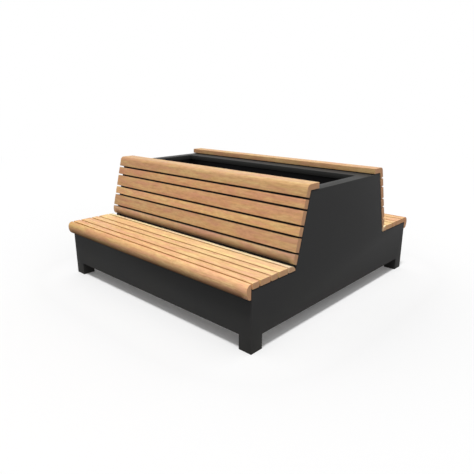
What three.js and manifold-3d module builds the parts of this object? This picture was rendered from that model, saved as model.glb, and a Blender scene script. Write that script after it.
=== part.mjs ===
// A double-sided park bench round a planter: two slatted seats back to back on a powder-coated
// steel body, with an open trough for plants between the two backrests.
// Units are millimetres. X runs along the seats, the front bench faces -Y, and Z points up.
// The origin is on the ground in the middle of the object.
import * as THREE from "three";
import { mergeVertices } from "three/addons/utils/BufferGeometryUtils.js";
import Module from "manifold-3d";

const wasm = await Module();
wasm.setup();

// Driving dimensions of the steel body
const BODY_LENGTH = 2000; // over the outer faces of the end panels
const BODY_DEPTH = 2024; // over the outer faces of the two fascias
const LEG_SIZE = 100; // square section of a leg
const LEG_HEIGHT = 100; // clear height under the body
const SEAT_FRAME_HEIGHT = 410; // top edge of the body under the seat slats
const BODY_HEIGHT = 903; // top face of the planter rim
const BODY_TOP_DEPTH = 918; // width of the body at the planter rim
const BACK_LEAN = THREE.MathUtils.degToRad(15); // backrest from the vertical
const PANEL_SHEET = 4; // end panels, fascias and ribs
const FLANGE_WIDTH = 22; // inward folds that stiffen the end panels and fascias
const LEG_SHEET = 3;
const LEG_ANGLE_HEIGHT = 200;
const FOOT_PLATE_THICKNESS = 6;
const ANCHOR_HOLE_DIAMETER = 14;
const BACK_SHEET = 2;

// Driving dimensions of the planter
const RIM_SHEET = 3;
const RIM_LIP_DEPTH = 40; // fold that hangs down round the opening
const RIM_END_WIDTH = 90; // from the body's end to the opening
const RIM_SIDE_WIDTH = 209; // from the body's top edge to the opening
const LINER_SHEET = 2;
const LINER_SETBACK = 10; // from the back of the rim's lip to the liner's inner face
const LINER_TOP_DROP = 23; // liner's top edge below the rim's top face
const LINER_FLOOR_HEIGHT = 340; // underside of the liner's floor
const DRAIN_HOLE_DIAMETER = 20;
const DRAIN_HOLES = 5;

// Driving dimensions of the ribs and of what carries the liner
const RIB_FOOT_HEIGHT = 130;
const RIB_HOLES = 3;
const RIB_HOLE_share = 0.8; // of the distance from one hole to the next
const ANGLE_LEG = 40;
const ANGLE_SHEET = 4;
const LEDGE_share = 0.75; // of the planter's width
const LEDGE_BEARING_WIDTH = 20; // of the ledge that lies under the liner

// Driving dimensions of the slats
const SLAT_THICKNESS = 39;
const SLAT_OVERHANG = 2; // past the outer face of each end panel
const NARROW_SLAT = 60; // scaled a little with the wide ones, to fill the seat and the backrest
const WIDE_SLAT = 91;
const SLAT_GAP = 12;
const ARRIS_RADIUS = 3;
const END_CHAMFER = 1.5;
const NOSE_DROP = 54; // from the seat frame's height down to the nose slat's lower edge
const NOSE_TOP_ROUND_DEPTH = 35; // this round, and those below, are quarters of ellipses
const NOSE_TOP_ROUND_HEIGHT = 42;
const NOSE_LOW_ROUND_DEPTH = 32;
const NOSE_LOW_ROUND_HEIGHT = 56;
const NOSE_STAND_OFF = 6; // from the fascia to the nose slat
const SEAT_REAR_SLAT = 66;
const SEAT_REAR_GAP = 6; // between the seat's rear edge and the foot of the backrest's slope
const SEAT_REAR_ROUND_DEPTH = 58;
const SEAT_REAR_ROUND_HEIGHT = 34;
const BACK_BOTTOM_START = 40; // along the backrest from the seat frame's height
const BACK_BOTTOM_SLAT = 66;
const BACK_BOTTOM_ROUND_DEPTH = 34;
const BACK_BOTTOM_ROUND_HEIGHT = 60;
const CAP_LIP_WIDTH = 44.4; // down the backrest from the body's top edge
const CAP_LEG_WIDTH = 87; // over the rim from the body's top edge
const CAP_RADIUS = 32;

// Driving dimensions of the slat carriers and their screws
const CARRIER_THICKNESS = 5;
const CARRIER_WIDTH = 50;
const CARRIER_BEND_RADIUS = 4;
const CARRIER_DROP = 36; // hangs this far below the seat frame's height, behind the nose slat
const CARRIER_TOP_LENGTH = 69; // over the rim from the body's top edge
const CARRIERS = 4; // spread evenly along each bench
const SCREW_DIAMETER = 5;
const SCREW_DEPTH = 22; // length inside the slat
const SCREW_HOLE_PLAY = 1.2;
const SCREW_OFFSET = 12; // towards the middle of the bench from the carrier's centre line

// Clearance between pieces that rest on each other
const CLEARANCE = 0.3;

// Numbers of straight steps in curves
const ARRIS_STEPS = 2;
const ROUND_STEPS = 9;
const LARGE_RADIUS = 10; // from this radius up a curve takes the larger number
const HOLE_SIDES = 20;
const SCREW_SIDES = 6;

// Places worked out from the driving dimensions
const halfLength = BODY_LENGTH / 2;
const halfDepth = BODY_DEPTH / 2;
const panelInside = halfLength - PANEL_SHEET;
const betweenPanels = panelInside - CLEARANCE;
const fasciaInside = halfDepth - PANEL_SHEET;
const behindFascia = fasciaInside - CLEARANCE;
const lean = Math.tan(BACK_LEAN);
const topHalf = BODY_TOP_DEPTH / 2;
const backFoot = topHalf + (BODY_HEIGHT - SEAT_FRAME_HEIGHT) * lean;
const underRim = BODY_HEIGHT - RIM_SHEET - CLEARANCE;
const standOff = CARRIER_THICKNESS + 2 * CLEARANCE;
const seatUnderside = SEAT_FRAME_HEIGHT + standOff;
const seatTop = seatUnderside + SLAT_THICKNESS;
const capUnderside = BODY_HEIGHT + standOff;
const capTop = capUnderside + SLAT_THICKNESS;
const noseInside = halfDepth + NOSE_STAND_OFF;
const noseFront = noseInside + SLAT_THICKNESS;
const openingLong = halfLength - RIM_END_WIDTH;
const openingWide = topHalf - RIM_SIDE_WIDTH;
const linerInsideLength = openingLong + RIM_SHEET + LINER_SETBACK;
const linerInsideWidth = openingWide + RIM_SHEET + LINER_SETBACK;
const linerTop = BODY_HEIGHT - LINER_TOP_DROP;
const ribInnerEdge = linerInsideWidth + LINER_SHEET + CLEARANCE;
const bearerTop = LINER_FLOOR_HEIGHT - CLEARANCE;
const carrierEnd = panelInside - CARRIER_WIDTH / 2 - CLEARANCE;
const ribPlace = carrierEnd / (CARRIERS - 1);
const seatFront = -noseInside + SLAT_GAP;
const seatRear = -backFoot - SEAT_REAR_GAP;
const capInnerEdge = topHalf - CAP_LEG_WIDTH;
const capLip = (BODY_HEIGHT - SEAT_FRAME_HEIGHT) / Math.cos(BACK_LEAN) - CAP_LIP_WIDTH;
const carrierTopEnd = topHalf - CARRIER_TOP_LENGTH;

const finishes = {
  wood: { color: 0xd9a066, roughness: 0.6, metalness: 0 },
  panel: { color: 0x3a3a3b, roughness: 0.5, metalness: 0.3 },
  rim: { color: 0x4a4a4b, roughness: 0.5, metalness: 0.3 },
  liner: { color: 0x15161a, roughness: 0.7, metalness: 0.2 },
  steel: { color: 0x2b2b2c, roughness: 0.6, metalness: 0.5 },
};

// Makes a solid for joins and cuts from a closed geometry.
function toSolid(geometry) {
  const bare = new THREE.BufferGeometry();
  bare.setAttribute("position", geometry.getAttribute("position").clone());
  if (geometry.index) bare.setIndex(geometry.index.clone());
  const merged = mergeVertices(bare);
  return new wasm.Manifold(
    new wasm.Mesh({
      numProp: 3,
      vertProperties: merged.getAttribute("position").array,
      triVerts: new Uint32Array(merged.index.array),
    }),
  );
}

// Makes a geometry again from a solid.
function toGeometry(solid) {
  const mesh = solid.getMesh();
  const geometry = new THREE.BufferGeometry();
  geometry.setAttribute("position", new THREE.BufferAttribute(mesh.vertProperties, mesh.numProp));
  geometry.setIndex(new THREE.BufferAttribute(mesh.triVerts, 1));
  geometry.computeVertexNormals();
  return geometry;
}

function join(solids) {
  return solids.reduce((whole, next) => whole.add(next));
}

// A named piece with its own material.
function piece(name, solid, finish) {
  const mesh = new THREE.Mesh(toGeometry(solid), new THREE.MeshStandardMaterial(finishes[finish]));
  mesh.name = name;
  return mesh;
}

// Scales slat widths so that they fill a room, with a gap after each of them.
function fill(widths, room) {
  const total = widths.reduce((sum, width) => sum + width);
  const left = room - widths.length * SLAT_GAP;
  return widths.map((width) => (width * left) / total);
}

// A box between two corners.
function block([x0, y0, z0], [x1, y1, z1]) {
  const box = new THREE.BoxGeometry(x1 - x0, y1 - y0, z1 - z0);
  box.translate((x0 + x1) / 2, (y0 + y1) / 2, (z0 + z1) / 2);
  return toSolid(box);
}

// The points of an outline whose corners [u, v, radius] are rounded by arcs. A list in the radius's
// place gives a quarter of an ellipse, by its length on the side before the corner and the side after.
function roundedOutline(corners) {
  const points = [];
  corners.forEach(([u, v, radius = 0], i) => {
    const corner = new THREE.Vector2(u, v);
    if (radius === 0) {
      points.push(corner);
      return;
    }
    const before = corners.at(i - 1);
    const after = corners[(i + 1) % corners.length];
    const back = new THREE.Vector2(before[0], before[1]).sub(corner).normalize();
    const ahead = new THREE.Vector2(after[0], after[1]).sub(corner).normalize();
    if (Array.isArray(radius)) {
      for (let step = 0; step <= ROUND_STEPS; step++) {
        const angle = (Math.PI / 2) * (step / ROUND_STEPS);
        const point = corner.clone().addScaledVector(back, radius[0] * (1 - Math.sin(angle)));
        points.push(point.addScaledVector(ahead, radius[1] * (1 - Math.cos(angle))));
      }
      return;
    }
    const half = Math.acos(back.dot(ahead)) / 2;
    const middle = back.clone().add(ahead).normalize();
    const centre = corner.clone().addScaledVector(middle, radius / Math.sin(half));
    const start = corner.clone().addScaledVector(back, radius / Math.tan(half)).sub(centre);
    const turn = Math.sign(-back.cross(ahead)) * (Math.PI - 2 * half);
    const steps = radius >= LARGE_RADIUS ? ROUND_STEPS : ARRIS_STEPS;
    for (let step = 0; step <= steps; step++) {
      const point = start.clone().rotateAround(new THREE.Vector2(), (turn * step) / steps);
      points.push(point.add(centre));
    }
  });
  return points;
}

// Extrudes an outline drawn in Y and Z from x0 to x1, with small chamfers at its ends if asked.
function alongX(outline, x0, x1, chamfer = 0) {
  const geometry = new THREE.ExtrudeGeometry(new THREE.Shape(outline), {
    depth: x1 - x0 - 2 * chamfer,
    bevelEnabled: chamfer > 0,
    bevelThickness: chamfer,
    bevelSize: chamfer,
    bevelOffset: -chamfer,
    bevelSegments: 1,
  });
  const axes = new THREE.Matrix4().makeBasis(
    new THREE.Vector3(0, 1, 0),
    new THREE.Vector3(0, 0, 1),
    new THREE.Vector3(1, 0, 0),
  );
  geometry.applyMatrix4(axes.setPosition(x0 + chamfer, 0, 0));
  return toSolid(geometry);
}

// Extrudes an outline drawn in X and Z from y0 to y1.
function alongY(outline, y0, y1) {
  const geometry = new THREE.ExtrudeGeometry(new THREE.Shape(outline), {
    depth: y1 - y0,
    bevelEnabled: false,
  });
  const axes = new THREE.Matrix4().makeBasis(
    new THREE.Vector3(1, 0, 0),
    new THREE.Vector3(0, 0, 1),
    new THREE.Vector3(0, -1, 0),
  );
  geometry.applyMatrix4(axes.setPosition(0, y1, 0));
  return toSolid(geometry);
}

// Whole or half steps, even about zero, such as -1, 0, 1 for three.
function evenSteps(count) {
  return Array.from({ length: count }, (_, i) => i - (count - 1) / 2);
}

function points(...pairs) {
  return pairs.map(([u, v]) => new THREE.Vector2(u, v));
}

// A round or hexagonal pin from one point along a direction.
function pin(diameter, length, sides, start, direction) {
  const rod = new THREE.CylinderGeometry(diameter / 2, diameter / 2, length, sides);
  rod.translate(0, length / 2, 0);
  const turn = new THREE.Quaternion().setFromUnitVectors(new THREE.Vector3(0, 1, 0), direction);
  rod.applyQuaternion(turn);
  rod.translate(start.x, start.y, start.z);
  return toSolid(rod);
}

// The place in Y and Z on the front backrest, a distance up it and a distance out of it.
function onBack(up, out) {
  const y = -backFoot + up * Math.sin(BACK_LEAN) - out * Math.cos(BACK_LEAN);
  const z = SEAT_FRAME_HEIGHT + up * Math.cos(BACK_LEAN) + out * Math.sin(BACK_LEAN);
  return [y, z];
}

// Y at a height, on the line that lies a distance out of the front backrest's slope.
function backLine(height, out) {
  return -backFoot + (height - SEAT_FRAME_HEIGHT) * lean - out / Math.cos(BACK_LEAN);
}

// STEEL BODY

// Stepped end plate with a leg at each corner, and folds along its seat, back and bottom edges.
function endPanel(name, side) {
  const legInside = halfDepth - LEG_SIZE;
  const backTop = topHalf - (underRim - BODY_HEIGHT) * lean;
  const half = [
    [-halfDepth, 0],
    [-legInside, 0],
    [-legInside, LEG_HEIGHT],
  ];
  const upper = [
    [-backTop, underRim],
    [-backFoot, SEAT_FRAME_HEIGHT],
    [-halfDepth, SEAT_FRAME_HEIGHT],
  ];
  const mirrored = (list) => list.map(([y, z]) => [-y, z]).reverse();
  const outline = points(...half, ...mirrored(half), ...mirrored(upper), ...upper);
  const plate = alongX(outline, panelInside, halfLength);
  const foldEnd = panelInside - FLANGE_WIDTH;
  const folds = [-1, 1].flatMap((way) => [seatFold(way, foldEnd), backFold(way, foldEnd)]);
  const bottomFold = block(
    [foldEnd, -legInside + CLEARANCE, LEG_HEIGHT],
    [halfLength - CLEARANCE, legInside - CLEARANCE, LEG_HEIGHT + PANEL_SHEET],
  );
  const panel = piece(name, join([plate, bottomFold, ...folds]), "panel");
  panel.rotation.z = side > 0 ? 0 : Math.PI;
  return panel;
}

function seatFold(way, foldEnd) {
  const near = Math.min(way * backFoot, way * behindFascia);
  const far = Math.max(way * backFoot, way * behindFascia);
  return block(
    [foldEnd, near, SEAT_FRAME_HEIGHT - PANEL_SHEET],
    [halfLength - CLEARANCE, far, SEAT_FRAME_HEIGHT],
  );
}

function backFold(way, foldEnd) {
  const outside = -(BACK_SHEET + CLEARANCE);
  const inside = outside - PANEL_SHEET;
  const low = SEAT_FRAME_HEIGHT - PANEL_SHEET / 2;
  const strip = points(
    [way * backLine(low, outside), low],
    [way * backLine(underRim, outside), underRim],
    [way * backLine(underRim, inside), underRim],
    [way * backLine(low, inside), low],
  );
  return alongX(way > 0 ? strip.reverse() : strip, foldEnd, halfLength - CLEARANCE);
}

// Long sheet under the seat nose, with the front face of a leg at each end and folded edges.
function fascia(name, turn) {
  const legInside = halfLength - LEG_SIZE;
  const outline = points(
    [-betweenPanels, 0],
    [-legInside, 0],
    [-legInside, LEG_HEIGHT],
    [legInside, LEG_HEIGHT],
    [legInside, 0],
    [betweenPanels, 0],
    [betweenPanels, SEAT_FRAME_HEIGHT],
    [-betweenPanels, SEAT_FRAME_HEIGHT],
  );
  const sheet = alongY(outline, -halfDepth, -fasciaInside);
  const foldEnd = -fasciaInside + FLANGE_WIDTH;
  const topReach = panelInside - FLANGE_WIDTH - CLEARANCE;
  const topFold = block(
    [-topReach, -halfDepth, SEAT_FRAME_HEIGHT - PANEL_SHEET],
    [topReach, foldEnd, SEAT_FRAME_HEIGHT],
  );
  const bottomReach = legInside - CLEARANCE;
  const bottomFold = block(
    [-bottomReach, -halfDepth, LEG_HEIGHT],
    [bottomReach, foldEnd, LEG_HEIGHT + PANEL_SHEET],
  );
  const front = piece(name, join([sheet, topFold, bottomFold]), "panel");
  front.rotation.z = turn;
  return front;
}

// Thin sheet behind the back slats, which closes the body between the seat and the rim.
function backSheet(name, turn) {
  const foot = SEAT_FRAME_HEIGHT + CLEARANCE;
  const outline = points(
    [backLine(foot, 0), foot],
    [backLine(foot, -BACK_SHEET), foot],
    [backLine(underRim, -BACK_SHEET), underRim],
    [backLine(underRim, 0), underRim],
  );
  const sheet = piece(name, alongX(outline, -betweenPanels, betweenPanels), "steel");
  sheet.rotation.z = turn;
  return sheet;
}

// Two inner walls that close a leg into a box.
function legAngle(name, sideX, sideY) {
  const inside = LEG_SIZE - PANEL_SHEET - CLEARANCE;
  const outline = points(
    [0, 0],
    [inside, 0],
    [inside, LEG_SHEET],
    [LEG_SHEET, LEG_SHEET],
    [LEG_SHEET, inside],
    [0, inside],
  );
  const geometry = new THREE.ExtrudeGeometry(new THREE.Shape(outline), {
    depth: LEG_ANGLE_HEIGHT,
    bevelEnabled: false,
  });
  const angle = piece(name, toSolid(geometry), "panel");
  placeInLeg(angle, sideX, sideY);
  return angle;
}

// Ground plate inside a leg, with a hole for an anchor bolt.
function footPlate(name, sideX, sideY) {
  const start = LEG_SHEET + CLEARANCE;
  const end = LEG_SIZE - PANEL_SHEET - CLEARANCE;
  const middle = new THREE.Vector3((start + end) / 2, (start + end) / 2, -FOOT_PLATE_THICKNESS);
  const hole = pin(
    ANCHOR_HOLE_DIAMETER,
    3 * FOOT_PLATE_THICKNESS,
    HOLE_SIDES,
    middle,
    new THREE.Vector3(0, 0, 1),
  );
  const plate = block([start, start, 0], [end, end, FOOT_PLATE_THICKNESS]).subtract(hole);
  const foot = piece(name, plate, "panel");
  placeInLeg(foot, sideX, sideY);
  return foot;
}

// Puts a piece drawn from a leg's inner corner outwards into one of the four legs.
function placeInLeg(mesh, sideX, sideY) {
  const quarter = sideX > 0 ? (sideY > 0 ? 0 : 3) : sideY > 0 ? 1 : 2;
  mesh.rotation.z = (quarter * Math.PI) / 2;
  mesh.position.set(sideX * (halfLength - LEG_SIZE), sideY * (halfDepth - LEG_SIZE), 0);
}

// Upright gusset under one bench that carries the slat carriers and holds the liner in place.
function rib(name, place, turn) {
  const outside = -(BACK_SHEET + CLEARANCE);
  const outline = points(
    [-behindFascia, RIB_FOOT_HEIGHT],
    [-ribInnerEdge, RIB_FOOT_HEIGHT],
    [-ribInnerEdge, underRim],
    [backLine(underRim, outside), underRim],
    [backLine(SEAT_FRAME_HEIGHT, outside), SEAT_FRAME_HEIGHT],
    [-fasciaInside + FLANGE_WIDTH + CLEARANCE, SEAT_FRAME_HEIGHT],
    [-fasciaInside + FLANGE_WIDTH + CLEARANCE, SEAT_FRAME_HEIGHT - PANEL_SHEET - CLEARANCE],
    [-behindFascia, SEAT_FRAME_HEIGHT - PANEL_SHEET - CLEARANCE],
  );
  const x0 = place - PANEL_SHEET / 2;
  const plate = alongX(outline, x0, x0 + PANEL_SHEET);
  const middleY = -(behindFascia + ribInnerEdge) / 2;
  const middleZ = (RIB_FOOT_HEIGHT + SEAT_FRAME_HEIGHT) / 2;
  const across = new THREE.Vector3(1, 0, 0);
  const spacing = (behindFascia - ribInnerEdge) / (RIB_HOLES + 1);
  const holes = evenSteps(RIB_HOLES).map((step) => {
    const start = new THREE.Vector3(x0 - PANEL_SHEET, middleY + step * spacing, middleZ);
    return pin(RIB_HOLE_share * spacing, 3 * PANEL_SHEET, HOLE_SIDES, start, across);
  });
  const gusset = piece(name, plate.subtract(join(holes)), "steel");
  gusset.rotation.z = turn;
  return gusset;
}

// PLANTER

// Flat rim over the body's top, with a fold that hangs down round the opening.
function planterRim() {
  const width = topHalf - CLEARANCE;
  const [long, wide] = [openingLong, openingWide];
  const low = BODY_HEIGHT - RIM_LIP_DEPTH;
  const high = BODY_HEIGHT - RIM_SHEET;
  const plate = block([-halfLength, -width, high], [halfLength, width, BODY_HEIGHT]);
  const lip = block(
    [-long - RIM_SHEET, -wide - RIM_SHEET, low],
    [long + RIM_SHEET, wide + RIM_SHEET, BODY_HEIGHT],
  );
  const opening = block([-long, -wide, low - RIM_SHEET], [long, wide, BODY_HEIGHT + RIM_SHEET]);
  return piece("planter_rim", plate.add(lip).subtract(opening), "rim");
}

// Open trough that holds the soil, with a row of drain holes in its floor.
function planterLiner() {
  const long = linerInsideLength + LINER_SHEET;
  const wide = linerInsideWidth + LINER_SHEET;
  const outside = block([-long, -wide, LINER_FLOOR_HEIGHT], [long, wide, linerTop]);
  const inside = block(
    [-linerInsideLength, -linerInsideWidth, LINER_FLOOR_HEIGHT + LINER_SHEET],
    [linerInsideLength, linerInsideWidth, linerTop + LINER_SHEET],
  );
  const spacing = (2 * long) / (DRAIN_HOLES + 1);
  const up = new THREE.Vector3(0, 0, 1);
  const drains = evenSteps(DRAIN_HOLES).map((step) => {
    const start = new THREE.Vector3(step * spacing, 0, LINER_FLOOR_HEIGHT - LINER_SHEET);
    return pin(DRAIN_HOLE_DIAMETER, 3 * LINER_SHEET, HOLE_SIDES, start, up);
  });
  return piece("planter_liner", outside.subtract(inside).subtract(join(drains)), "liner");
}

// Steel angle across the body between two ribs, on which the liner stands.
function linerBearer(name, place) {
  const reach = ribInnerEdge - CLEARANCE;
  const section = points(
    [place - ANGLE_LEG / 2, bearerTop],
    [place - ANGLE_LEG / 2, bearerTop - ANGLE_LEG],
    [place - ANGLE_LEG / 2 + ANGLE_SHEET, bearerTop - ANGLE_LEG],
    [place - ANGLE_LEG / 2 + ANGLE_SHEET, bearerTop - ANGLE_SHEET],
    [place + ANGLE_LEG / 2, bearerTop - ANGLE_SHEET],
    [place + ANGLE_LEG / 2, bearerTop],
  );
  return piece(name, alongY(section, -reach, reach), "steel");
}

// Steel angle on the inside of an end panel, under the end of the liner.
function linerLedge(name, side) {
  const wall = betweenPanels;
  const tip = linerInsideLength + LINER_SHEET - LEDGE_BEARING_WIDTH;
  const half = LEDGE_share * openingWide;
  const section = points(
    [wall, bearerTop],
    [tip, bearerTop],
    [tip, bearerTop - ANGLE_SHEET],
    [wall - ANGLE_SHEET, bearerTop - ANGLE_SHEET],
    [wall - ANGLE_SHEET, bearerTop - ANGLE_LEG],
    [wall, bearerTop - ANGLE_LEG],
  );
  const ledge = piece(name, alongY(section, -half, half), "steel");
  ledge.rotation.z = side > 0 ? 0 : Math.PI;
  return ledge;
}

// SLATS AND THEIR CARRIERS

// Each plan below gives a front slat's name, its rounded corners in Y and Z, the place on its back
// where the screws enter, and the direction of those screws.
function nosePlan() {
  const low = SEAT_FRAME_HEIGHT - NOSE_DROP;
  return {
    name: "nose_slat",
    corners: [
      [-noseFront, low, [NOSE_LOW_ROUND_HEIGHT, NOSE_LOW_ROUND_DEPTH]],
      [-noseInside, low, ARRIS_RADIUS],
      [-noseInside, seatTop, ARRIS_RADIUS],
      [-noseFront, seatTop, [NOSE_TOP_ROUND_DEPTH, NOSE_TOP_ROUND_HEIGHT]],
    ],
    screwAt: [-noseInside, SEAT_FRAME_HEIGHT - CARRIER_DROP / 2],
    screwWay: [-1, 0],
  };
}

function seatPlans() {
  const room = seatRear - seatFront - SEAT_REAR_SLAT;
  const widths = fill([NARROW_SLAT, WIDE_SLAT, NARROW_SLAT, WIDE_SLAT], room);
  const rearRound = [SEAT_REAR_ROUND_HEIGHT, SEAT_REAR_ROUND_DEPTH];
  let front = seatFront;
  return [...widths, SEAT_REAR_SLAT].map((width, i) => {
    const last = i === widths.length;
    const y0 = front;
    const y1 = front + width;
    front = y1 + SLAT_GAP;
    return {
      name: last ? "seat_rear_slat" : `seat_slat_${i + 1}`,
      corners: [
        [y0, seatUnderside, ARRIS_RADIUS],
        [y1, seatUnderside, ARRIS_RADIUS],
        [y1, seatTop, last ? rearRound : ARRIS_RADIUS],
        [y0, seatTop, ARRIS_RADIUS],
      ],
      screwAt: [(y0 + y1) / 2, seatUnderside],
      screwWay: [0, 1],
    };
  });
}

// The bottom slat and four more up the backrest, in the frame of onBack.
function backPlans() {
  const outer = standOff + SLAT_THICKNESS;
  const room = capLip - BACK_BOTTOM_START - BACK_BOTTOM_SLAT - SLAT_GAP;
  const widths = fill([WIDE_SLAT, NARROW_SLAT, WIDE_SLAT, NARROW_SLAT], room);
  const lowRound = [BACK_BOTTOM_ROUND_HEIGHT, BACK_BOTTOM_ROUND_DEPTH];
  let start = BACK_BOTTOM_START;
  return [BACK_BOTTOM_SLAT, ...widths].map((width, i) => {
    const low = start;
    const high = start + width;
    start = high + SLAT_GAP;
    return {
      name: i === 0 ? "back_bottom_slat" : `back_slat_${i}`,
      corners: [
        [...onBack(low, outer), i === 0 ? lowRound : ARRIS_RADIUS],
        [...onBack(low, standOff), ARRIS_RADIUS],
        [...onBack(high, standOff), ARRIS_RADIUS],
        [...onBack(high, outer), ARRIS_RADIUS],
      ],
      screwAt: onBack((low + high) / 2, standOff),
      screwWay: [-Math.cos(BACK_LEAN), Math.sin(BACK_LEAN)],
    };
  });
}

// Bent slat over the top of the backrest, with a lip down its face and a leg over the rim.
function capPlan() {
  const outer = standOff + SLAT_THICKNESS;
  return {
    name: "back_cap",
    corners: [
      [...onBack(capLip, outer), ARRIS_RADIUS],
      [...onBack(capLip, standOff), ARRIS_RADIUS],
      [backLine(capUnderside, standOff), capUnderside],
      [-capInnerEdge, capUnderside, ARRIS_RADIUS],
      [-capInnerEdge, capTop, ARRIS_RADIUS],
      [backLine(capTop, outer), capTop, CAP_RADIUS],
    ],
    screwAt: [-(topHalf + carrierTopEnd) / 2, capUnderside],
    screwWay: [0, 1],
  };
}

// The middle of each carrier along the bench.
const carrierPlaces = evenSteps(CARRIERS).map((step) => 2 * step * ribPlace);

// Pins along every screw of the front bench, for the screws themselves or for their pilot holes.
function screwPins(plans, places, diameter, before, after) {
  return places.flatMap((place) =>
    plans.map(({ screwAt: [y, z], screwWay: [wayY, wayZ] }) => {
      const way = new THREE.Vector3(0, wayY, wayZ);
      const x = place - Math.sign(place) * SCREW_OFFSET;
      const start = new THREE.Vector3(x, y, z).addScaledVector(way, -before);
      return pin(diameter, before + after, SCREW_SIDES, start, way);
    }),
  );
}

// One timber slat, drilled for its screws.
function slat(side, plan) {
  const end = halfLength + SLAT_OVERHANG;
  const timber = alongX(roundedOutline(plan.corners), -end, end, END_CHAMFER);
  const hole = SCREW_DIAMETER + SCREW_HOLE_PLAY;
  const holes = screwPins([plan], carrierPlaces, hole, CLEARANCE, SCREW_DEPTH + SCREW_HOLE_PLAY);
  return piece(`${side}_${plan.name}`, timber.subtract(join(holes)), "wood");
}

// Flat bar bent to the bench's profile, with a screw into every slat.
function carrier(name, place, plans) {
  const low = SEAT_FRAME_HEIGHT - CARRIER_DROP;
  const near = CLEARANCE;
  const far = CLEARANCE + CARRIER_THICKNESS;
  const dropFront = -noseInside + CLEARANCE;
  const dropBack = dropFront + CARRIER_THICKNESS;
  const corners = [
    [dropBack, low],
    [dropBack, SEAT_FRAME_HEIGHT + near],
    [backLine(SEAT_FRAME_HEIGHT + near, near), SEAT_FRAME_HEIGHT + near],
    [backLine(BODY_HEIGHT + near, near), BODY_HEIGHT + near],
    [-carrierTopEnd, BODY_HEIGHT + near],
    [-carrierTopEnd, BODY_HEIGHT + far],
    [backLine(BODY_HEIGHT + far, far), BODY_HEIGHT + far, CARRIER_BEND_RADIUS],
    [backLine(SEAT_FRAME_HEIGHT + far, far), SEAT_FRAME_HEIGHT + far],
    [dropFront, SEAT_FRAME_HEIGHT + far, CARRIER_BEND_RADIUS],
    [dropFront, low],
  ];
  const half = CARRIER_WIDTH / 2;
  const bar = alongX(roundedOutline(corners), place - half, place + half);
  const rooted = standOff - CARRIER_THICKNESS / 2;
  const screws = screwPins(plans, [place], SCREW_DIAMETER, rooted, SCREW_DEPTH);
  return piece(name, join([bar, ...screws]), "steel");
}

// The slats and carriers of one bench, turned about the middle of the object.
function benchSide(side, turn) {
  const group = new THREE.Group();
  const plans = [nosePlan(), ...seatPlans(), ...backPlans(), capPlan()];
  group.add(...plans.map((plan) => slat(side, plan)));
  carrierPlaces.forEach((place, i) => {
    group.add(carrier(`${side}_slat_carrier_${i + 1}`, place, plans));
  });
  group.rotation.z = turn;
  return group;
}

// ASSEMBLY

const bench = new THREE.Group();
for (const [side, turn] of [["front", 0], ["rear", Math.PI]]) {
  bench.add(benchSide(side, turn), fascia(`${side}_fascia`, turn));
  bench.add(backSheet(`${side}_back_sheet`, turn));
  bench.add(rib(`${side}_rib_1`, -ribPlace, turn), rib(`${side}_rib_2`, ribPlace, turn));
}
for (const [end, sideX] of [["left", -1], ["right", 1]]) {
  bench.add(endPanel(`${end}_end_panel`, sideX));
  bench.add(linerBearer(`${end}_liner_bearer`, sideX * ribPlace));
  bench.add(linerLedge(`${end}_liner_ledge`, sideX));
  for (const [side, sideY] of [["front", -1], ["rear", 1]]) {
    bench.add(legAngle(`${side}_${end}_leg_angle`, sideX, sideY));
    bench.add(footPlate(`${side}_${end}_foot_plate`, sideX, sideY));
  }
}
bench.add(planterRim(), planterLiner());

export default bench;
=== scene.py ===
# Dresses the bench with planter: finer slats with wood grain, sheet steel with small rounds and a
# powder coat, the camera of the photograph and a plain studio. Lengths are metres.
import math
import random

import bmesh
import bpy
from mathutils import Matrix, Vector


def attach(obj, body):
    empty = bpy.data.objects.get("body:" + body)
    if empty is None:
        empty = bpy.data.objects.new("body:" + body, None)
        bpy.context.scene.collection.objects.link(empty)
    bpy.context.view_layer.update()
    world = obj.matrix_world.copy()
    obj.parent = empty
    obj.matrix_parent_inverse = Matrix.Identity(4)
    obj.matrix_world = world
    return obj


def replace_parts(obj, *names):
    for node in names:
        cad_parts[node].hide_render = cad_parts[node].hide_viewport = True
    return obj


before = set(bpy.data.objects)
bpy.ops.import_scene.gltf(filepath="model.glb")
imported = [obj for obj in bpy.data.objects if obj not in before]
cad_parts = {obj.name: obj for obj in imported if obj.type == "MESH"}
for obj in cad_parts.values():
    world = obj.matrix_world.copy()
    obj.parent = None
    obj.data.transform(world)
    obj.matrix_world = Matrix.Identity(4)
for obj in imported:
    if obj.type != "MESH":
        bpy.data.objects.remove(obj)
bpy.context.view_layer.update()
random.seed(7)

# CAMERA, solved from the bench's edges in the photograph
CAMERA_PLACE = (2.5772, -2.8362, 1.4666)
CAMERA_PITCH, CAMERA_YAW = 16.996, 42.824  # degrees down, and round from the +Y direction
SENSOR, LENS = 36.0, 35.10  # millimetres, for a square picture

# SIZES OF THE SLATS, the same as in the solids
HALF_LENGTH = 1.000
HALF_DEPTH = 1.012
TOP_HALF = 0.459
SEAT_FRAME = 0.410
BODY_HEIGHT = 0.903
LEAN = math.radians(15)
THICK = 0.039
STAND_OFF = 0.0056
OVERHANG = 0.002
NARROW, WIDE, GAP = 0.060, 0.091, 0.012  # the widths are scaled to fill a seat or a back
ARRIS = 0.003
NOSE_DROP, NOSE_STAND_OFF = 0.054, 0.006
NOSE_TOP_ROUND = (0.035, 0.042)  # quarters of ellipses: the lengths before and after the corner
NOSE_LOW_ROUND = (0.056, 0.032)
SEAT_REAR, SEAT_REAR_ROUND, SEAT_REAR_GAP = 0.066, (0.034, 0.058), 0.006
BOTTOM_START, BOTTOM, BOTTOM_ROUND = 0.040, 0.066, (0.060, 0.034)
CAP_LIP, CAP_LEG, CAP_ROUND = 0.0444, 0.087, 0.032

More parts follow.
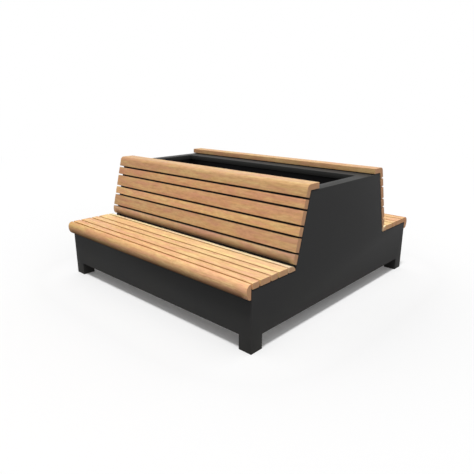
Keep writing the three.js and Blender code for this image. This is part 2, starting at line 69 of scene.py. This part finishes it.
BACK_FOOT = TOP_HALF + (BODY_HEIGHT - SEAT_FRAME) * math.tan(LEAN)
NOSE_INSIDE = HALF_DEPTH + NOSE_STAND_OFF
SEAT_UNDER = SEAT_FRAME + STAND_OFF
SEAT_TOP = SEAT_UNDER + THICK
CAP_UNDER = BODY_HEIGHT + STAND_OFF
CAP_TOP = CAP_UNDER + THICK

# FINENESS, beyond the solids
END_ROUND = 0.0015
END_BORDER = 0.001  # flat strips beside the ends' rounds, which keep the shading of the flat sides even
END_STEPS = 4
ELLIPSE_STEPS = 26
LARGE_ROUND = 0.010  # arcs with a larger radius have the large steps
LARGE_STEPS, SMALL_STEPS = 22, 5
SHARP_ANGLE = math.radians(34)  # edges above it stay sharp
SHEET_EDGE_ANGLE = math.radians(40)  # edges above it get a small round
FLAT_ANGLE = math.radians(1)  # faces within it are joined before that
MERGE_DISTANCE = 1e-5
SHEET_EDGE_STEPS = 3


# NODE TREES

def colour(r, g, b):
    """An opaque colour."""
    return (r, g, b, 1.0)


WHITE = colour(1.0, 1.0, 1.0)


class Tree:
    """Short calls for the nodes that the materials below use."""

    def __init__(self, tree):
        self.tree = tree

    def add(self, kind, inputs=(), **settings):
        """Makes a node with its settings and its inputs, each a value or another node's output."""
        node = self.tree.nodes.new(kind)
        for name, value in settings.items():
            setattr(node, name, value)
        for name, value in dict(inputs).items():
            self.put(node.inputs[name], value)
        return node

    def put(self, socket, value):
        if isinstance(value, bpy.types.NodeSocket):
            self.tree.links.new(value, socket)
        else:
            socket.default_value = value

    def math(self, operation, a, b=0.0, clamp=False):
        return self.add("ShaderNodeMath", {0: a, 1: b}, operation=operation, use_clamp=clamp).outputs[0]

    def plus(self, a, b, clamp=False):
        return self.math("ADD", a, b, clamp)

    def minus(self, a, b):
        return self.math("SUBTRACT", a, b)

    def times(self, a, b):
        return self.math("MULTIPLY", a, b)

    def larger(self, a, b):
        return self.math("MAXIMUM", a, b)

    def vector(self, operation, a, b=(0.0, 0.0, 0.0), output="Vector"):
        return self.add("ShaderNodeVectorMath", {0: a, 1: b}, operation=operation).outputs[output]

    def scaled(self, vector, factors):
        return self.vector("MULTIPLY", vector, factors)

    def dot(self, a, b):
        return self.vector("DOT_PRODUCT", a, b, "Value")

    def parts(self, vector):
        return self.add("ShaderNodeSeparateXYZ", {0: vector}).outputs

    def noise(self, vector, detail, rough):
        inputs = {"Vector": vector, "Scale": 1.0, "Detail": detail, "Roughness": rough}
        return self.add("ShaderNodeTexNoise", inputs).outputs["Fac"]

    def between(self, value, low, high, to_low=0.0, to_high=1.0):
        inputs = {"Value": value, "From Min": low, "From Max": high, "To Min": to_low, "To Max": to_high}
        return self.add("ShaderNodeMapRange", inputs, clamp=True).outputs["Result"]

    def mix(self, factor, a, b, blend="MIX"):
        node = self.add("ShaderNodeMix", data_type="RGBA", blend_type=blend)
        for index, value in ((0, factor), (6, a), (7, b)):
            self.put(node.inputs[index], value)
        return node.outputs[2]

    def tinted(self, a, b):
        return self.mix(1.0, a, b, blend="MULTIPLY")

    def bump(self, height, strength, distance):
        inputs = {"Height": height, "Strength": strength, "Distance": distance}
        return self.add("ShaderNodeBump", inputs).outputs["Normal"]

    def coordinates(self):
        return self.add("ShaderNodeTexCoord").outputs

    def emission(self, strength):
        return self.add("ShaderNodeEmission", {"Color": WHITE, "Strength": strength}).outputs[0]

    def blended(self, factor, a, b):
        return self.add("ShaderNodeMixShader", {0: factor, 1: a, 2: b}).outputs[0]

    def rays(self):
        """Whether a ray is the camera's, and whether it is that or a mirrored or transmitted one."""
        path = self.add("ShaderNodeLightPath").outputs
        camera = path["Is Camera Ray"]
        return camera, self.larger(camera, self.larger(path["Is Glossy Ray"], path["Is Transmission Ray"]))


def new_material(name):
    """An empty material and its node tree."""
    material = bpy.data.materials.new(name)
    material.use_nodes = True
    material.node_tree.nodes.clear()
    return material, Tree(material.node_tree)


def surface(tree, **sockets):
    """Ends a material with one shader, whose sockets are given by their names with _ for blanks."""
    shader = tree.add("ShaderNodeBsdfPrincipled", {k.replace("_", " "): v for k, v in sockets.items()})
    tree.add("ShaderNodeOutputMaterial", {"Surface": shader.outputs[0]})


# TIMBER

HONEY = colour(0.860, 0.530, 0.225)
ROSE = colour(0.820, 0.435, 0.245)
STRAW = colour(0.900, 0.625, 0.280)
GRAIN_DARK = colour(0.480, 0.235, 0.085)
END_GRAIN = colour(0.713, 0.382, 0.229)
SEAT_PAINTED_LIGHT = colour(1.09, 1.25, 1.43)  # painted light: times the timber's colour at the +X end of the seats, which it makes paler
BACK_PAINTED_LIGHT = colour(1.14, 1.18, 1.25)  # the same painted light for the backs
NOSE_PAINTED_LIGHT = colour(1.36, 1.41, 1.82)  # and for the noses
GAP_SHADE_BROWN = colour(0.060, 0.020, 0.004)  # painted shade, dark brown, in the gaps of the backs and under the noses
SEAT_GAP_SHADE_BROWN = colour(0.400, 0.160, 0.002)  # the same painted shade where a seat's gaps see the light
LOW_EDGE_SHADE_GREY = colour(0.024, 0.016, 0.013)  # painted shade, greyish, on the low rounded edge of a backrest's bottom slat

# Noises of the timber: how often each changes in a metre along and across a slat, its detail and roughness
NOISES = {
    "patches": (1.7, 24.0, 3.0, 0.55),
    "drift": (0.9, 9.0, 2.0, 0.5),
    "blotches": (6.0, 28.0, 2.0, 0.5),
    "flecks": (17.0, 60.0, 3.0, 0.6),
    "streaks": (4.5, 150.0, 4.0, 0.62),
    "fibres": (30.0, 1300.0, 2.0, 0.5),
    "dashes": (55.0, 1700.0, 1.0, 0.5),
}

# Growth rings about an axis along X, which follow a slat with hardly any change
RING_STRETCH = (0.035, 1.0, 1.0)
RINGS = {"Scale": 62.0, "Distortion": 9.0, "Detail": 2.0, "Detail Scale": 0.55, "Detail Roughness": 0.5}

# How far the noises turn the timber redder or paler, and how far they and the rings darken it
PATCH_SHARE, DRIFT_SHARE, BLOTCH_SHARE = 0.75, 0.65, 0.80
STREAK_SHADE, RING_SHADE, FLECK_SHADE, PORE_SHADE = 0.26, 0.16, 0.34, 0.22
END_GRAIN_SHARE = 0.85

# Where in the log a slat may lie: along it, to the sides of its heart, and away from it
LOG_PLACES = ((-9, 9), (-0.11, 0.11), (0.05, 0.16))

GRAIN_RELIEF = (0.35, 0.0004)  # how strong and how deep
TIMBER_IOR, TIMBER_SPECULAR = 1.46, 0.22

# Painted shade in a seat's gaps is full down to the first depth below the seat's top, and thin from the
# second
PAINTED_SHADE_FULL, PAINTED_SHADE_THIN = 0.006, 0.016
# Towards a slat's ends it wanes, between these lengths from the body's end, to a share of itself
PAINTED_SHADE_WANES, PAINTED_SHADE_WANED, PAINTED_SHADE_END_SHARE = 0.050, 0.015, 0.2

TIMBER_INPUTS = {
    "Offset": "Vector", "Tint": "Color", "Fade": "Float", "Painted light colour": "Color", "Side": "Vector",
    "Both sides": "Float", "Painted shade": "Float", "Painted shade colour": "Color", "Painted shade from": "Float",
    "Painted shade below": "Float",
}
TIMBER_OUTPUTS = {"Colour": "Color", "Roughness": "Float", "Normal": "Vector"}


def grain_patterns(tree, place):
    """The timber's noises, its late wood and its pores, at a place in the log."""
    made = {}
    for name, (along, across, detail, rough) in NOISES.items():
        made[name] = tree.noise(tree.scaled(place, (along, across, across)), detail, rough)
    rings = tree.add(
        "ShaderNodeTexWave", {"Vector": tree.scaled(place, RING_STRETCH), **RINGS},
        wave_type="RINGS", rings_direction="X", wave_profile="SAW",
    ).outputs["Fac"]
    made["late"] = tree.between(rings, 0.62, 0.96)
    made["pores"] = tree.between(made["dashes"], 0.63, 0.74)
    return made


def long_grain(tree, grain):
    """The timber's colour along the grain."""
    body = tree.mix(tree.between(grain["patches"], 0.38, 0.64, 0.0, PATCH_SHARE), HONEY, ROSE)
    body = tree.mix(tree.between(grain["drift"], 0.50, 0.72, 0.0, DRIFT_SHARE), body, STRAW)
    body = tree.mix(tree.between(grain["blotches"], 0.50, 0.66, 0.0, BLOTCH_SHARE), body, ROSE)
    body = tree.mix(tree.between(grain["blotches"], 0.50, 0.36, 0.0, BLOTCH_SHARE), body, STRAW)
    streaked = tree.between(grain["streaks"], 0.30, 0.72, 0.0, STREAK_SHADE)
    shade = tree.plus(streaked, tree.times(grain["late"], RING_SHADE))
    shade = tree.plus(shade, tree.between(grain["flecks"], 0.42, 0.72, 0.0, FLECK_SHADE))
    shade = tree.plus(shade, tree.times(grain["pores"], PORE_SHADE), clamp=True)
    return tree.mix(shade, body, GRAIN_DARK)


def end_grain(tree, grain):
    """The timber's colour at its sawn ends."""
    ends = tree.mix(tree.times(grain["late"], 0.35), END_GRAIN, GRAIN_DARK)
    return tree.mix(tree.between(grain["fibres"], 0.4, 0.7, 0.0, 0.35), ends, HONEY)


def gap_painted_shade(tree, given, here, grain):
    """Painted shade: how dark a slat is made where it faces the gaps beside it, and under a nose where it
    faces down.
    """
    facing = tree.dot(here["Normal"], given["Side"])
    facing = tree.larger(facing, tree.times(facing, tree.times(given["Both sides"], -1.0)))
    facing = tree.minus(facing, given["Painted shade from"])
    painted_shade = tree.times(tree.between(facing, 0.0, 0.6), tree.between(grain["patches"], 0.2, 0.7, 1.0, 0.8))
    along, _, height = tree.parts(here["Object"])
    near_top = tree.between(height, SEAT_TOP - PAINTED_SHADE_THIN, SEAT_TOP - PAINTED_SHADE_FULL)
    painted_shade = tree.times(painted_shade, tree.larger(near_top, given["Painted shade below"]))
    wanes, waned = HALF_LENGTH - PAINTED_SHADE_WANES, HALF_LENGTH - PAINTED_SHADE_WANED
    painted_shade = tree.times(painted_shade, tree.between(tree.math("ABSOLUTE", along), wanes, waned, 1.0, PAINTED_SHADE_END_SHARE))
    return tree.times(painted_shade, given["Painted shade"])


def timber_group():
    """One node group for the timber: grain along X, end grain, painted light that pales it towards the +X
    end, and painted shade on the sides that face the gaps and under the noses.
    """
    group = bpy.data.node_groups.new("oiled_timber", "ShaderNodeTree")
    for way, sockets in (("INPUT", TIMBER_INPUTS), ("OUTPUT", TIMBER_OUTPUTS)):
        for name, kind in sockets.items():
            group.interface.new_socket(name, in_out=way, socket_type=f"NodeSocket{kind}")
    tree = Tree(group)
    given = tree.add("NodeGroupInput").outputs
    here = tree.coordinates()
    grain = grain_patterns(tree, tree.vector("ADD", here["Object"], given["Offset"]))
    body = tree.tinted(long_grain(tree, grain), given["Tint"])
    along = tree.parts(here["Object"])[0]
    # Painted light: the timber turns paler towards the +X end
    painted_light = tree.times(tree.between(along, -HALF_LENGTH, HALF_LENGTH), given["Fade"])
    body = tree.mix(painted_light, body, tree.tinted(body, given["Painted light colour"]))
    at_end = tree.between(tree.math("ABSOLUTE", tree.parts(here["Normal"])[0]), 0.55, 0.9)
    body = tree.mix(tree.times(at_end, END_GRAIN_SHARE), body, end_grain(tree, grain))
    # Painted shade where a slat faces the gaps, and under the noses
    painted_shade = gap_painted_shade(tree, given, here, grain)
    body = tree.mix(painted_shade, body, given["Painted shade colour"])

    rough = tree.plus(tree.between(grain["streaks"], 0.3, 0.7, 0.40, 0.52), tree.times(at_end, 0.25))
    rough = tree.plus(rough, tree.times(painted_shade, 0.45), clamp=True)
    relief = tree.minus(tree.times(grain["fibres"], 0.6), tree.times(grain["pores"], 0.7))
    relief = tree.minus(relief, tree.times(grain["late"], 0.25))
    normal = tree.bump(relief, *GRAIN_RELIEF)
    tree.add("NodeGroupOutput", {"Colour": body, "Roughness": rough, "Normal": normal})
    return group


def timber(name, group, tint, painted_light, side, both, painted_shade):
    """The timber of one slat, with its own tint, its own place in the log and its sides darkened by painted
    shade.
    """
    material, tree = new_material(name)
    offset = [random.uniform(*span) for span in LOG_PLACES]
    values = {"Offset": offset, "Tint": colour(*tint), "Side": side, "Both sides": both}
    values["Fade"], values["Painted light colour"] = painted_light
    values["Painted shade"], values["Painted shade from"], values["Painted shade below"], values["Painted shade colour"] = painted_shade
    out = tree.add("ShaderNodeGroup", values, node_tree=group).outputs
    surface(tree, Base_Color=out["Colour"], Roughness=out["Roughness"], Normal=out["Normal"],
            IOR=TIMBER_IOR, Specular_IOR_Level=TIMBER_SPECULAR)
    return material


# STEEL

# How often the coat's unevenness changes in a metre
PEEL, WAVES, CLOUD = 900.0, 160.0, 3.0
# Paler towards the ground: partly dust, partly painted light for the floor's bounce
DUST_AND_PAINTED_LIGHT = colour(0.10, 0.095, 0.085)
DUST_AND_PAINTED_LIGHT_HEIGHT = 0.45
COAT_RELIEF = (0.25, 0.0003)  # how strong and how deep

# Coats: the colour, the colour of its cloudy places, the specular level and the roughness
COATS = {
    "panel": ((0.049, 0.049, 0.0495), (0.060, 0.060, 0.060), 0.04, 0.58),
    "rim": ((0.037, 0.037, 0.036), (0.046, 0.046, 0.045), 0.11, 0.52),
    "inner": ((0.016, 0.016, 0.017), (0.022, 0.021, 0.020), 0.22, 0.58),
    # The liner's near-black is partly its dark coat and partly painted shade for the deep inside of the
    # planter
    "liner": ((0.006, 0.006, 0.007), (0.010, 0.010, 0.010), 0.12, 0.65),
}

# Sheet steel: parts of the nodes' names, their coat, their slot and the round along their edges
STEEL = (
    (("_end_panel", "_fascia", "_leg_angle", "_foot_plate"), "panel", "body_panel", 0.0008),
    (("planter_rim",), "rim", "planter_rim", 0.0009),
    (("planter_liner",), "liner", "planter_liner", 0.0006),
    (("_carrier_",), "inner", "inner_steel", 0.0005),
    (("_rib_", "_back_sheet", "_bearer", "_ledge"), "inner", "inner_steel", 0.0008),
)


def powder_coat(name, base, cloudy, specular, rough):
    """Matt powder coat: fine orange peel, faint unevenness, and a paler tone towards the ground, partly dust
    and partly painted light for light bounced from the floor.
    """
    material, tree = new_material(name)
    place = tree.coordinates()["Object"]
    peel = tree.noise(tree.scaled(place, (PEEL,) * 3), 2.0, 0.6)
    waves = tree.noise(tree.scaled(place, (WAVES,) * 3), 1.0, 0.5)
    cloud = tree.noise(tree.scaled(place, (CLOUD,) * 3), 3.0, 0.55)
    # Paler towards the ground, partly dust and partly painted light
    low = tree.between(tree.parts(place)[2], 0.0, DUST_AND_PAINTED_LIGHT_HEIGHT, 1.0, 0.0)
    dust_and_painted_light = tree.times(tree.times(low, low), tree.between(cloud, 0.35, 0.7, 0.1, 0.5))
    body = tree.mix(tree.between(cloud, 0.35, 0.65, 0.0, 0.30), colour(*base), colour(*cloudy))
    height = tree.plus(tree.times(peel, 0.6), tree.times(waves, 0.5))
    surface(
        tree, Base_Color=tree.mix(dust_and_painted_light, body, DUST_AND_PAINTED_LIGHT), Specular_IOR_Level=specular,
        Roughness=tree.between(cloud, 0.3, 0.7, rough - 0.04, rough + 0.05),
        Normal=tree.bump(height, *COAT_RELIEF),
    )
    return material


# GEOMETRY

def put_mesh(name, bm, material):
    """Makes a piece from a bmesh, smooth but for its sharp edges, riding on the one body."""
    bmesh.ops.recalc_face_normals(bm, faces=bm.faces)
    mesh = bpy.data.meshes.new(name)
    bm.to_mesh(mesh)
    bm.free()
    mesh.shade_smooth()
    mesh.set_sharp_from_angle(angle=SHARP_ANGLE)
    mesh.materials.append(material)
    piece = bpy.data.objects.new(name, mesh)
    bpy.context.scene.collection.objects.link(piece)
    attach(piece, "root")
    return piece


def ellipse_round(corner, back, ahead):
    """A quarter of an ellipse in place of a square corner, with the half-axes back and ahead."""
    points = []
    for step in range(ELLIPSE_STEPS + 1):
        angle = step / ELLIPSE_STEPS * math.pi / 2
        points.append(corner + back * (1 - math.sin(angle)) + ahead * (1 - math.cos(angle)))
    return points


def arc_round(corner, back, ahead, radius):
    """An arc in place of a corner, from the direction back to the direction ahead."""
    half = back.angle(ahead) / 2
    centre = corner + (back + ahead).normalized() * radius / math.sin(half)
    first = corner + back * radius / math.tan(half) - centre
    last = corner + ahead * radius / math.tan(half) - centre
    whole = first.angle(last)
    steps = LARGE_STEPS if radius > LARGE_ROUND else SMALL_STEPS
    points = []
    for step in range(steps + 1):
        share = step / steps
        near = math.sin((1 - share) * whole) / math.sin(whole)
        far = math.sin(share * whole) / math.sin(whole)
        points.append(centre + first * near + last * far)
    return points


def rounded(corners):
    """The points of an outline, whose corners (u, v, round) have a radius, two half-axes or 0."""
    made = []
    for i, (u, v, size) in enumerate(corners):
        corner = Vector((u, v))
        back = (Vector(corners[i - 1][:2]) - corner).normalized()
        ahead = (Vector(corners[(i + 1) % len(corners)][:2]) - corner).normalized()
        if isinstance(size, tuple):
            made += ellipse_round(corner, back * size[0], ahead * size[1])
        elif size > 0:
            made += arc_round(corner, back, ahead, size)
        else:
            made.append(corner)
    return made


def inset(outline, depth):
    """The outline drawn in by a small depth."""
    area = sum(a.x * b.y - b.x * a.y for a, b in zip(outline, outline[1:] + outline[:1]))
    side = 1 if area > 0 else -1
    moved = []
    for i, point in enumerate(outline):
        before, after = outline[i - 1], outline[(i + 1) % len(outline)]
        along = (after - before).normalized()
        moved.append(point + Vector((-along.y, along.x)) * depth * side)
    return moved


def slat_mesh(outline, turn):
    """A slat along X with rounded ends; a turn of -1 puts it on the rear bench."""
    bm = bmesh.new()
    end = HALF_LENGTH + OVERHANG
    stations = [(end - END_ROUND - END_BORDER, 0)]
    for step in range(END_STEPS + 1):
        angle = step / END_STEPS * math.pi / 2
        stations.append((end - END_ROUND * (1 - math.sin(angle)), END_ROUND * (1 - math.cos(angle))))
    stations.append((end, END_ROUND + END_BORDER))
    rows = [(-x, depth) for x, depth in reversed(stations)] + stations
    rings = []
    for x, depth in rows:
        shape = inset(outline, depth) if depth > 0 else outline
        rings.append([bm.verts.new((turn * x, turn * p.x, p.y)) for p in shape])
    for ring, following in zip(rings, rings[1:]):
        for i in range(len(ring)):
            j = (i + 1) % len(ring)
            bm.faces.new((ring[i], ring[j], following[j], following[i]))
    bm.faces.new(rings[0])
    bm.faces.new(rings[-1])
    return bm


# SLATS

def fill(widths, room):
    """Scales widths so that they fill a room, with a gap after each."""
    left = room - len(widths) * GAP
    return [width * left / sum(widths) for width in widths]


def on_back(up, out):
    """The point at a length up the front backrest's frame and a height out from it, as Y and Z."""
    y = -BACK_FOOT + up * math.sin(LEAN) - out * math.cos(LEAN)
    return (y, SEAT_FRAME + up * math.cos(LEAN) + out * math.sin(LEAN))


def back_line(height, out):
    """The Y at which a line along the backrest, out from its frame, reaches a height."""
    return -BACK_FOOT + (height - SEAT_FRAME) * math.tan(LEAN) - out / math.cos(LEAN)


def seat_outlines():
    """The corners of the nose and of the seat's slats."""
    low = SEAT_FRAME - NOSE_DROP
    front = NOSE_INSIDE + THICK
    made = {
        "nose_slat": [
            (-front, low, NOSE_LOW_ROUND), (-NOSE_INSIDE, low, ARRIS),
            (-NOSE_INSIDE, SEAT_TOP, ARRIS), (-front, SEAT_TOP, NOSE_TOP_ROUND),
        ]
    }
    start, stop = -NOSE_INSIDE + GAP, -BACK_FOOT - SEAT_REAR_GAP
    widths = fill([NARROW, WIDE, NARROW, WIDE], stop - start - SEAT_REAR)
    rows = [(f"seat_slat_{i}", width, ARRIS) for i, width in enumerate(widths, 1)]
    for name, width, far_round in rows + [("seat_rear_slat", SEAT_REAR, SEAT_REAR_ROUND)]:
        made[name] = [
            (start, SEAT_UNDER, ARRIS), (start + width, SEAT_UNDER, ARRIS),
            (start + width, SEAT_TOP, far_round), (start, SEAT_TOP, ARRIS),
        ]
        start += width + GAP
    return made


def back_outlines():
    """The corners of the backrest's slats and of its cap."""
    made = {}
    outer = STAND_OFF + THICK
    lip = (BODY_HEIGHT - SEAT_FRAME) / math.cos(LEAN) - CAP_LIP
    start = BOTTOM_START
    widths = fill([WIDE, NARROW, WIDE, NARROW], lip - BOTTOM_START - BOTTOM - GAP)
    rows = [(f"back_slat_{i}", width, ARRIS) for i, width in enumerate(widths, 1)]
    for name, width, low_round in [("back_bottom_slat", BOTTOM, BOTTOM_ROUND)] + rows:
        made[name] = [
            (*on_back(start, outer), low_round), (*on_back(start, STAND_OFF), ARRIS),
            (*on_back(start + width, STAND_OFF), ARRIS), (*on_back(start + width, outer), ARRIS),
        ]
        start += width + GAP
    made["back_cap"] = [
        (*on_back(lip, outer), ARRIS), (*on_back(lip, STAND_OFF), ARRIS),
        (back_line(CAP_UNDER, STAND_OFF), CAP_UNDER, 0),
        (-(TOP_HALF - CAP_LEG), CAP_UNDER, ARRIS), (-(TOP_HALF - CAP_LEG), CAP_TOP, ARRIS),
        (back_line(CAP_TOP, outer), CAP_TOP, CAP_ROUND),
    ]
    return made


# Colour of each slat against the others, set by comparing renders with the photograph
TINTS = {
    "nose_slat": (0.99, 0.94, 0.82),
    # The seats' tints above 1 are partly painted sheen, which pales their tops
    "seat_slat_1": (1.10, 1.05, 1.02),
    "seat_slat_2": (1.09, 1.06, 1.05),
    "seat_slat_3": (1.12, 1.16, 1.18),
    "seat_slat_4": (1.19, 1.30, 1.26),
    # Painted light: lifts the rear seat slat out of the shade under the backrest
    "seat_rear_slat": (1.24, 1.64, 2.08),
    # Painted shade: greyer, taking out the warm light that the seat bounces onto it
    "back_bottom_slat": (0.83, 0.90, 1.16),
    "back_slat_1": (0.76, 0.75, 0.80),
    "back_slat_2": (1.06, 1.08, 1.11),
    "back_slat_3": (0.90, 0.84, 0.86),
    "back_slat_4": (0.93, 0.84, 0.86),
    "back_cap": (0.875, 0.855, 0.84),
}

# How much of the painted light towards the +X end a slat has, where it isn't the whole
PAINTED_LIGHT_SHARES = {"seat_rear_slat": 0.6, "back_bottom_slat": 0.4, "back_slat_2": 0.0}
REAR_SEAT_PAINTED_LIGHT = 0.3

# How much painted shade darkens a slat's sides, how far they have to face that way, the share that is left
# below the seat's top, and the colour
PAINTED_SHADE = {
    "seat": (0.8, 0.3, 0.3, SEAT_GAP_SHADE_BROWN),
    "back": (1.0, 0.25, 1.0, GAP_SHADE_BROWN),
    "bottom": (0.92, 0.06, 1.0, LOW_EDGE_SHADE_GREY),
    "nose": (1.0, -0.04, 1.0, GAP_SHADE_BROWN),
}


def painted_light_and_shade(name, turn):
    """A slat's painted light towards the +X end, where the side with its painted shade faces, whether the
    opposite side gets that shade too, and the painted shade itself.
    """
    if name == "nose_slat":
        return (1.0, NOSE_PAINTED_LIGHT), (0, 0, -1), 0.0, PAINTED_SHADE["nose"]
    amount = PAINTED_LIGHT_SHARES.get(name, 1.0)
    if name.startswith("back"):
        side = (0, -turn * math.sin(LEAN), -math.cos(LEAN))
        painted_shade = PAINTED_SHADE["bottom" if name == "back_bottom_slat" else "back"]
        return (amount, BACK_PAINTED_LIGHT), side, float(name != "back_cap"), painted_shade
    return (amount if turn == 1 else REAR_SEAT_PAINTED_LIGHT, SEAT_PAINTED_LIGHT), (0, 1, 0), 1.0, PAINTED_SHADE["seat"]


def dress_slats():
    """Puts a finer slat, in its own timber, in place of each of both benches' plain ones."""
    group = timber_group()
    outlines = {**seat_outlines(), **back_outlines()}
    for bench, turn in (("front", 1), ("rear", -1)):
        for name, corners in outlines.items():
            node = f"{bench}_{name}"
            material = timber(f"timber_{node}", group, TINTS[name], *painted_light_and_shade(name, turn))
            piece = put_mesh(f"{node}_timber", slat_mesh(rounded(corners), turn), material)
            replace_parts(piece, node)


def soften(node, material, radius):
    """A copy of a sheet-steel node with small rounds along its edges stands for it."""
    bm = bmesh.new()
    bm.from_mesh(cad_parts[node].data)
    bmesh.ops.remove_doubles(bm, verts=bm.verts, dist=MERGE_DISTANCE)
    bmesh.ops.dissolve_limit(bm, angle_limit=FLAT_ANGLE, verts=bm.verts, edges=bm.edges)
    edges = [e for e in bm.edges if len(e.link_faces) == 2 and e.calc_face_angle() > SHEET_EDGE_ANGLE]
    bmesh.ops.bevel(
        bm, geom=edges, offset=radius, segments=SHEET_EDGE_STEPS, profile=0.5,
        affect="EDGES", clamp_overlap=True,
    )
    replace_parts(put_mesh(f"{node}_coated", bm, material), node)


def dress_steel():
    """Softens and coats every sheet-steel node."""
    coats = {name: powder_coat(f"{name}_coat", *look) for name, look in COATS.items()}
    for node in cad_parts:
        for words, coat, slot, radius in STEEL:
            if any(word in node for word in words):
                soften(node, coats[coat], radius)


# STUDIO

FLOOR_SIZE, FLOOR_DROP = 80, 0.0005
PAPER_PAINTED_LIGHT_BESIDE, PAPER_AWAY = 0.975, 0.855  # the paper as it is seen, at the bench's foot and away from it; the paler paper at the foot is painted light that lifts the soft shade the bench throws round itself
BESIDE, AWAY = 1.0, 1.45  # how far out that is, along X or Y
PAPER_BOUNCE = 0.12  # the paper as the bench sees it
PAPER_GLOW = 0.065
FADE_START, FADE_END = 2.0, 9.0  # how far out the floor turns white
AMBIENT = 0.52
LAMP_DISTANCE = 5

# Soft suns: the way towards each, its strength and its width in degrees
SUNS = {
    "overhead": ((0.11, -0.22, 1.0), 1.86, 12),
    "fill": ((1.0, 0.0, 0.12), 0.22, 40),
}


def floor():
    """Plain pale floor that fades to white far from the bench and keeps its shadow, painted paler near the
    bench's foot with painted light.
    """
    bpy.ops.mesh.primitive_plane_add(size=FLOOR_SIZE, location=(0, 0, -FLOOR_DROP))
    ground = bpy.context.object
    ground.name = "floor"
    material, tree = new_material("floor_paper")
    place = tree.coordinates()["Object"]
    squares = tree.scaled(place, place)
    fourths = tree.dot(tree.scaled(squares, squares), (1, 1, 0))
    beside = tree.math("POWER", fourths, 0.25)  # about 1 all along the foot of the bench
    # Painted light: paler paper along the bench's foot
    paper = tree.between(beside, BESIDE, AWAY, PAPER_PAINTED_LIGHT_BESIDE, PAPER_AWAY)
    camera_ray, seen = tree.rays()
    paper = tree.mix(seen, colour(PAPER_BOUNCE, PAPER_BOUNCE, PAPER_BOUNCE), paper)
    lit = tree.add("ShaderNodeBsdfDiffuse", {"Color": paper}).outputs[0]
    glow = tree.emission(tree.times(seen, PAPER_GLOW))
    near = tree.add("ShaderNodeAddShader", {0: lit, 1: glow}).outputs[0]
    far = tree.between(tree.vector("LENGTH", place, output="Value"), FADE_START, FADE_END)
    whole = tree.blended(tree.times(far, seen), near, tree.emission(seen))
    under = tree.times(tree.add("ShaderNodeNewGeometry").outputs["Backfacing"], camera_ray)
    clear = tree.add("ShaderNodeBsdfTransparent").outputs[0]
    tree.add("ShaderNodeOutputMaterial", {"Surface": tree.blended(under, whole, clear)})
    ground.data.materials.append(material)


def sunlamp(name, direction, energy, angle):
    """A soft sun that shines from a direction."""
    sun = bpy.data.lights.new(name, "SUN")
    sun.energy, sun.angle = energy, math.radians(angle)
    lamp = bpy.data.objects.new(name, sun)
    toward = Vector(direction).normalized()
    lamp.rotation_euler = toward.to_track_quat("Z", "Y").to_euler()
    lamp.location = toward * LAMP_DISTANCE
    bpy.context.scene.collection.objects.link(lamp)


def studio():
    """Even light from all round, seen as white, and the two suns."""
    world = bpy.data.worlds.new("studio")
    bpy.context.scene.world = world
    world.use_nodes = True
    world.node_tree.nodes.clear()
    tree = Tree(world.node_tree)
    _, seen = tree.rays()
    strength = tree.between(seen, 0.0, 1.0, AMBIENT, 1.0)
    back = tree.add("ShaderNodeBackground", {"Color": WHITE, "Strength": strength})
    tree.add("ShaderNodeOutputWorld", {"Surface": back.outputs[0]})
    for name, (direction, energy, angle) in SUNS.items():
        sunlamp(name, direction, energy, angle)


def camera():
    """The photograph's camera."""
    data = bpy.data.cameras.new("photo_camera")
    data.sensor_width, data.lens = SENSOR, LENS
    eye = bpy.data.objects.new("photo_camera", data)
    eye.location = CAMERA_PLACE
    eye.rotation_euler = (math.radians(90 - CAMERA_PITCH), 0, math.radians(CAMERA_YAW))
    bpy.context.scene.collection.objects.link(eye)
    bpy.context.scene.camera = eye


camera()
dress_slats()
dress_steel()
floor()
studio()
bpy.context.scene.view_settings.view_transform = "Standard"
